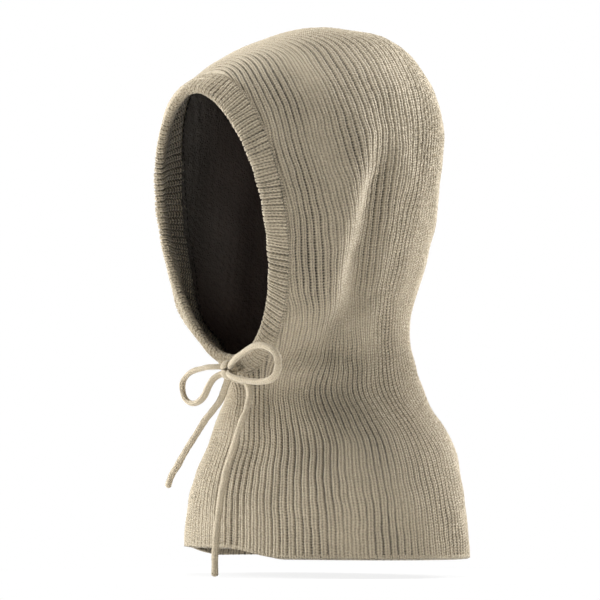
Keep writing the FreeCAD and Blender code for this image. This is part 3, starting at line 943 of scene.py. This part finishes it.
def rings(curve, wide, flat, across, through):
    """Rings of points round a curve, given in its width and thickness directions."""
    return curve[:, None] + wide[:, None] * across[..., None] + flat[:, None] * through[..., None]


def cord_relief(u, v, run, seed):
    """Height of the small stitches on a cord, and the share of each point that is rib."""
    phase = u - np.floor(u)
    column = 1 - bump(np.minimum(phase, 1 - phase), 0.17)
    stitch = np.cos(math.tau * (v + 0.9 * np.abs(phase - 0.5)))
    uneven = waves(run[:, None] + 0 * u, u * 2, (4, 22), 6, seed)
    relief = -0.16 * (1 - column) + 0.07 * stitch + 0.12 * uneven
    return relief + 0.25 * GRAIN * RNG.standard_normal(relief.shape), column


def soft_corners(values, power=0.85):
    """Bends a circle's sine or cosine towards a rounded rectangle's."""
    return np.sign(values) * np.abs(values) ** power


def knit_cord(name, points, flat_way, width=CORD_WIDTH, thickness=CORD_THICK, twist=0.0):
    """Flat tubular knitted cord: columns of small stitches all round, closed soft ends."""
    curve = resample(points, CORD_STEP)
    wide, flat = travelling_frames(curve, flat_way)
    count = len(curve)
    angle = np.arange(CORD_SIDES) / CORD_SIDES * math.tau
    run = np.arange(count) * CORD_STEP
    u = np.repeat((angle / math.tau * CORD_COLUMNS)[None], count, 0)
    v = np.repeat((run / CORD_STITCH_MM)[:, None], CORD_SIDES, 1)
    relief, column = cord_relief(u, v, run, seed=len(name))

    turn = (twist * run / run[-1])[:, None]
    turned_wide = wide * np.cos(turn) + flat * np.sin(turn)
    turned_flat = flat * np.cos(turn) - wide * np.sin(turn)
    to_end = np.minimum(run, run[-1] - run)
    size = np.sqrt(np.clip(to_end / CORD_END, 0.05, 1))[:, None]
    breathe = 1 + 0.05 * waves(run, run * 0, (9, 40), 5, seed=3 + len(name))[:, None]
    cosine, sine = soft_corners(np.cos(angle)), soft_corners(np.sin(angle))
    across = (width / 2 * breathe + relief) * cosine * size
    through = (thickness / 2 + relief) * sine * size
    surface = rings(curve, turned_wide, turned_flat, across, through)

    body = count * CORD_SIDES
    vertices = np.concatenate([surface.reshape(-1, 3), curve[[0, -1]]])
    # painted shade between the cord's columns
    knit = np.stack([u, v, 1 - column], -1).reshape(-1, 3)
    knit = np.concatenate([knit, [[0.5, 0, 0], [0.5, v[-1, 0], 0]]])
    cord = mesh_object(name, vertices, grid_faces(count, CORD_SIDES, close_columns=True), CORD, knit)
    close_ends(cord, np.arange(CORD_SIDES), body, np.arange(body - CORD_SIDES, body), body + 1)
    return cord


def yarn_ring(name, curve, radius, beads, material, ripple=0.35, closed=True):
    """Plied yarn that swells at every stitch."""
    curve = np.asarray(curve, float)
    count = len(curve)
    wide, flat = travelling_frames(curve, (0.1, 0.2, 1.0), closed)
    angle = np.arange(YARN_SIDES) / YARN_SIDES * math.tau
    position = (np.arange(count) / count * beads)[:, None]
    swell = radius * (1 + ripple * np.cos(position * math.tau))
    ply = 0.10 * np.cos(2 * (angle + position * math.tau * 0.5))
    size = swell * (1 + ply)
    surface = rings(curve, wide, flat, size * np.cos(angle), size * np.sin(angle))
    # painted shade between the beads, where the yarn is thinnest
    painted_groove_shade = 0.5 - 0.5 * np.cos(position * math.tau)
    knit = np.stack(np.broadcast_arrays(angle / math.tau * 2, position, painted_groove_shade), -1)
    faces = grid_faces(count, YARN_SIDES, close_rows=closed, close_columns=True)
    return mesh_object(name, surface, faces, material, knit.reshape(-1, 3))


def stitch_row(name, curve, length, gap, radius):
    """Separate short stitches along a curve, each a rounded thread that dips in at both ends."""
    run = run_length(curve)
    angle = np.arange(THREAD_SIDES) / THREAD_SIDES * math.tau
    swell = radius * np.sqrt(np.sin(np.linspace(0.06, math.pi - 0.06, THREAD_RINGS)))[:, None]
    vertices, faces = [], []
    for start in np.arange(0, run[-1] - length, length + gap):
        line = points_at(curve, run, start + np.linspace(0, length, THREAD_RINGS))
        wide, flat = travelling_frames(line, (0.15, 0.3, 1.0))
        base = len(vertices) * THREAD_RINGS * THREAD_SIDES
        faces.append(grid_faces(THREAD_RINGS, THREAD_SIDES, close_columns=True, base=base))
        tube = rings(line, wide, flat, swell * np.cos(angle), swell * np.sin(angle))
        vertices.append(tube.reshape(-1, 3))
    vertices = np.concatenate(vertices)
    # the threads take an even share of the painted notch and groove shade
    return mesh_object(name, vertices, np.concatenate(faces), THREAD, np.full(vertices.shape, 0.5))


def level_ring(z, inset, count):
    """Ring of points inside the outer skin at one height, from the front round."""
    a, b, c = section(z)
    around = np.linspace(0, math.tau, count)
    return np.stack([(a - inset) * np.sin(around), c - (b - inset) * np.cos(around), 0 * around + z], 1)


# ---- knitwear

def build_back_seam():
    """Yarn down the centre-back line of the skin, a little sunk into it."""
    bend = 331.0
    straight = np.linspace(2, bend - 1, 330)
    dome = APEX_Z - np.linspace(math.sqrt(APEX_Z - bend), 5.6, 90) ** 2
    z = np.concatenate([straight, dome])
    _, b, c = section(z)
    line = np.stack([0 * z, c + b, z], 1)
    slope = np.gradient(line, axis=0)
    outwards = unit(np.stack([0 * z, slope[:, 2], -slope[:, 1]], 1))
    line = resample(line - 0.2 * outwards, 0.8)
    seam = yarn_ring("centre_back_seam", line, 1.25, 130, KNIT, ripple=0.22, closed=False)
    place_across(seam, "knit", ("bib", "hood"), NECK_TWIST, "bib_back_seam", "hood_back_seam")


def ring_behind_band(behind, depth, count):
    """Ring of points behind the band, at a depth under the outer skin."""
    root, direction, normal, _ = band_frame(even_angles(count))
    under = skin_lift(root, direction, normal, behind) - depth
    return root - direction * behind + normal * under[:, None]


def build_band():
    """The band, and the linking yarn in the corner between it and the hood."""
    place(make_band(), "knit", "hood", "face_band")
    linking = yarn_ring("band_linking_yarn", ring_behind_band(1.2, 1.3, 1500), 0.8, 292, YARN)
    place(linking, "knit", "hood", "face_band_seam")


def build_hem():
    """Cast-off edge: one bead of yarn for each rib and each gap between ribs."""
    ring = level_ring(0.6, 1.9, 1601)[:-1]
    ring[:, 2] = 1.3
    ring[:, 2] += hem_lift(ring)
    edge = yarn_ring("hem_cast_off", ring, 1.55, RIBS_PER_SIDE * 4, KNIT, ripple=0.16)
    place(edge, "knit", "bib", "hem_bind_off")


# ---- lining

def build_fleece():
    """Two fleece halves just inside the knit. Returns the points of the edge between them."""
    grid = sheet(np.linspace(0, 1, 150), 150, 100)
    lumps = 0.45 * waves(grid[..., 1] + grid[..., 0], grid[..., 2], (3, 9), 9, seed=51)
    skin = grid + grid_normals(grid) * (soft_folds(grid) * 0.8 - LINING_DEPTH + lumps)[..., None]
    rows = grid.shape[1]
    half = rows // 2
    distance = face_plane_distance(grid)
    in_hood = grid[..., 2] > LINING_FLOOR
    for hand, columns in (("left", slice(0, half + 1)), ("right", slice(half, rows))):
        part = skin[:, columns]
        above = in_hood[:, columns].reshape(-1)
        in_front = (LINING_SETBACK - distance[:, columns]).reshape(-1)
        faces = grid_faces(*part.shape[:2])
        faces = faces[np.all(above[faces], axis=1) & np.any(in_front[faces] < 0, axis=1)]
        # the front edge is cut straight along the face plane
        vertices = part.reshape(-1, 3) + np.maximum(in_front, 0)[:, None] * FACE_NORMAL
        # painted light: paler near the face opening and higher up, fading deeper into the hood
        opening_light = 0.75 * bump(np.minimum(in_front, 0), 45) * smooth((vertices[:, 2] - 165) / 90)
        knit = np.stack([0 * opening_light, 0 * opening_light, opening_light], 1)
        vertices, faces, knit = drop_unused(vertices, faces, knit)
        lining = mesh_object(f"fleece_{hand}", vertices, faces, LINING, knit)
        place(lining, "lining", "hood", f"hood_lining_{hand}")
    return skin[:, half][(distance[:, half] > LINING_SETBACK) & in_hood[:, half]]


def build_centre_stitches(over):
    """Stitches along the edge between the fleece halves, over the crown and down the back."""
    over = over * np.array([0, 1, 1])
    z = np.linspace(353, 136, 200)
    _, b, c = section(z)
    down = np.stack([0 * z, c + b - LINING_DEPTH - 0.6, z], 1)
    line = resample(np.concatenate([over[::3], down[::6]]), 0.8)
    seam = stitch_row("fleece_centre_stitches", line, 3.0, 1.0, 0.55)
    place(seam, "thread", "hood", "lining_centre_seam")


def build_edge_stitches():
    """Stitches that hold the fleece to the facing and, at the neck, to the knit."""
    face = ring_behind_band(LINING_SETBACK + 1.5, LINING_DEPTH + THREAD_LIFT, 1200)
    neck = level_ring(LINING_FLOOR + 1.5, LINING_DEPTH + 0.8, 900)
    for name, line in (("face", face), ("neck", neck)):
        stitches = stitch_row(f"fleece_{name}_stitches", line, 3.2, 1.2, 0.5)
        place(stitches, "thread", "hood", f"lining_{name}_stitch")


# ---- bow

def build_loops():
    loop_left = knit_cord("bow_loop_left_cord", (
        KNOT + (1, 0.5, 1.5), (12, -76, 139), (33, -78, 148.5), (52, -77, 151.5), (64.5, -74.5, 143.5),
        (62, -73.5, 132), (46, -74.5, 126), (27, -76, 127.5), (13, -77, 130.5), KNOT + (1, -1, -1.5),
    ), flat_way=(0.1, -1, 0.15), twist=0.5)
    place(loop_left, "cord", "loop_left", "bow_loop_left")

    loop_right = knit_cord("bow_loop_right_cord", (
        KNOT + (-1, 0, 1.5), (-7, -76.5, 137.5), (-20, -78.5, 136.3), (-34, -79, 133), (-43, -78.5, 124.5),
        (-40.5, -77.5, 114.5), (-28, -77, 111.5), (-16, -77.5, 119), (-7, -77, 129), KNOT + (-1, -1, -1.5),
    ), flat_way=(0.35, -0.3, 1))
    place(loop_right, "cord", "loop_right", "bow_loop_right")


def build_tails():
    """Each tail starts as the stub at the knot and bends where the hinge is."""
    tail_left = knit_cord("cord_tail_left_knit", (
        KNOT + (1, 2, -1), (8.5, -70.5, 128.5), (16, -68.5, 127.5), (23, -68.5, 122), (25, -69.5, 114),
        (24.5, -73, 103), (20.5, -75.5, 92), (16.5, -77, 79), (12, -79, 66), (8, -80.5, 50), (5, -82, 30),
        (3, -83, 10), (2, -83, -13.6),
    ), flat_way=(0.25, -1, 0), twist=0.35)
    left_bend = ((0.0246, -0.069, 0.121), (0.0246, -0.071, 0.108))
    place_across(tail_left, "cord", ("hood", "tail_left"), left_bend,
                 "cord_stub_left", "cord_tail_left")

    tail_right = knit_cord("cord_tail_right_knit", (
        KNOT + (-1, 2, -2), (-1, -70, 126), (-4.5, -69.8, 120), (-9, -70.2, 112.8), (-18.5, -74, 101.5),
        (-27, -77, 90), (-37, -80.5, 76), (-45, -83, 64), (-49.5, -84.5, 57), (-51.5, -85.5, 49.8),
    ), flat_way=(0.5, -0.6, 0.1), twist=-0.5)
    right_bend = ((-0.0055, -0.070, 0.1185), (-0.0125, -0.0715, 0.108))
    place_across(tail_right, "cord", ("hood", "tail_right"), right_bend,
                 "cord_stub_right", "cord_tail_right")


def build_knot():
    """The wrap of the knot round the crossing cords."""
    angle = np.linspace(0, math.tau * 0.985, 26)
    wrap = KNOT + np.stack([0.9 * np.sin(angle), -0.3 - 4.6 * np.cos(angle), -5.4 * np.sin(angle)], 1)
    knot = knit_cord("bow_knot_wrap", wrap, flat_way=(0, -1, 0.01), width=7.0, thickness=3.4)
    place(knot, "cord", "hood", "bow_knot")


def build_leads():
    """The two leads from the eyelets under the chin to the knot, and the stitched eyelets."""
    root, direction, normal, width = band_frame(even_angles(720))
    out = normal[0]
    middle = root[0] + direction[0] * width[0] / 2
    sideways = np.array([1.0, 0, 0])
    turn = (np.arange(160) / 160 * math.tau)[:, None]
    eyelet_ring = 3.2 * (np.cos(turn) * sideways + np.sin(turn) * np.cross(out, sideways))
    for hand, sign in (("left", 1), ("right", -1)):
        seat = middle + sign * 5.5 * sideways
        path = (seat - out * 3, seat + out * 1.2, seat * 0.4 + KNOT * 0.6 + out * 0.5, KNOT)
        lead = knit_cord(f"cord_lead_{hand}_knit", path, flat_way=(0, -0.3, 1), width=5.0, thickness=3.0)
        place(lead, "cord", "hood", f"cord_lead_{hand}")
        eyelet = yarn_ring(f"cord_eyelet_{hand}_stitches", seat + eyelet_ring + out * 1.1, 0.75, 16, YARN)
        place(eyelet, "yarn", "hood", f"cord_eyelet_{hand}")


def dress_cased_cord():
    """The cord inside the band keeps its CAD mesh and takes the cord's wool."""
    cased = bpy.data.objects["drawcord_run"]
    cased.data.materials.clear()
    cased.data.materials.append(CORD)


# ---- floor, light and camera

def view_direction(azimuth, elevation):
    """Unit vector from the object towards a camera or lamp, angles in degrees."""
    turn, rise = math.radians(azimuth), math.radians(elevation)
    return Vector((math.sin(turn) * math.cos(rise), -math.cos(turn) * math.cos(rise), math.sin(rise)))


def aim(obj, target, back, distance):
    """Puts an object at a distance from the target, looking at it."""
    obj.location = target + back * distance
    obj.rotation_mode = "QUATERNION"
    obj.rotation_quaternion = (-back).to_track_quat("-Z", "Y")


def build_floor():
    """Wide plain floor just under the lowest point, which is the end of the left tail."""
    low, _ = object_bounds()
    reach = 12.0
    corners = [(-reach, -reach, 0), (reach, -reach, 0), (reach, reach, 0), (-reach, reach, 0)]
    mesh = bpy.data.meshes.new("floor")
    mesh.from_pydata(corners, [], [(0, 1, 2, 3)])
    mesh.materials.append(white_floor())
    floor = add_object("floor", mesh)
    floor.location.z = low.z - 0.0005


def build_camera():
    data = bpy.data.cameras.new("camera")
    data.lens = CAMERA_LENS
    data.clip_start = 0.1
    data.clip_end = 60
    camera = add_object("camera", data)
    bpy.context.scene.camera = camera
    turn = math.radians(CAMERA_AZIMUTH)
    right = Vector((math.cos(turn), math.sin(turn), 0))
    target = right * VIEW_OFFSET[0] + Vector((0, 0, VIEW_OFFSET[1]))
    distance = VIEW_MM * MM * data.lens / data.sensor_width
    aim(camera, target, view_direction(CAMERA_AZIMUTH, CAMERA_ELEVATION), distance)


def build_lights():
    for name, azimuth, elevation, power in LIGHTS:
        data = bpy.data.lights.new(name, "AREA")
        data.shape = "DISK"
        data.size = LIGHT_SIZE
        data.energy = power
        lamp = add_object(name, data)
        aim(lamp, Vector((0, 0, LIGHT_AIM_Z)), view_direction(azimuth, elevation), LIGHT_DISTANCE)


def build_surround():
    """White to the camera; as light it is dimmer from the camera's side."""
    world = bpy.data.worlds.new("surround")
    bpy.context.scene.world = world
    world.use_nodes = True
    tree = world.node_tree
    tree.nodes.clear()
    direction = source(tree, "ShaderNodeTexCoord", "Generated")
    back = tuple(view_direction(CAMERA_AZIMUTH, CAMERA_ELEVATION))
    facing = node(tree, "ShaderNodeVectorMath", {0: direction, 1: back}, operation="DOT_PRODUCT")
    dim = map_range(tree, facing.outputs["Value"], 0.1, 0.95, 0.30, 0.05)
    seen = source(tree, "ShaderNodeLightPath", "Is Camera Ray")
    strength = node(tree, "ShaderNodeMix", {0: seen, 2: dim, 3: 1.0}, data_type="FLOAT").outputs[0]
    glow = node(tree, "ShaderNodeBackground", {"Color": (1, 1, 1, 1), "Strength": strength}).outputs[0]
    node(tree, "ShaderNodeOutputWorld", {"Surface": glow})


place_across(make_body(), "knit", ("bib", "hood"), NECK_TWIST, "bib_knit", "hood_knit")
build_back_seam()
build_band()
build_hem()
build_centre_stitches(build_fleece())
build_edge_stitches()
build_loops()
build_tails()
build_knot()
build_leads()
dress_cased_cord()
build_floor()
build_camera()
build_lights()
build_surround()
bpy.context.scene.view_settings.view_transform = "Standard"
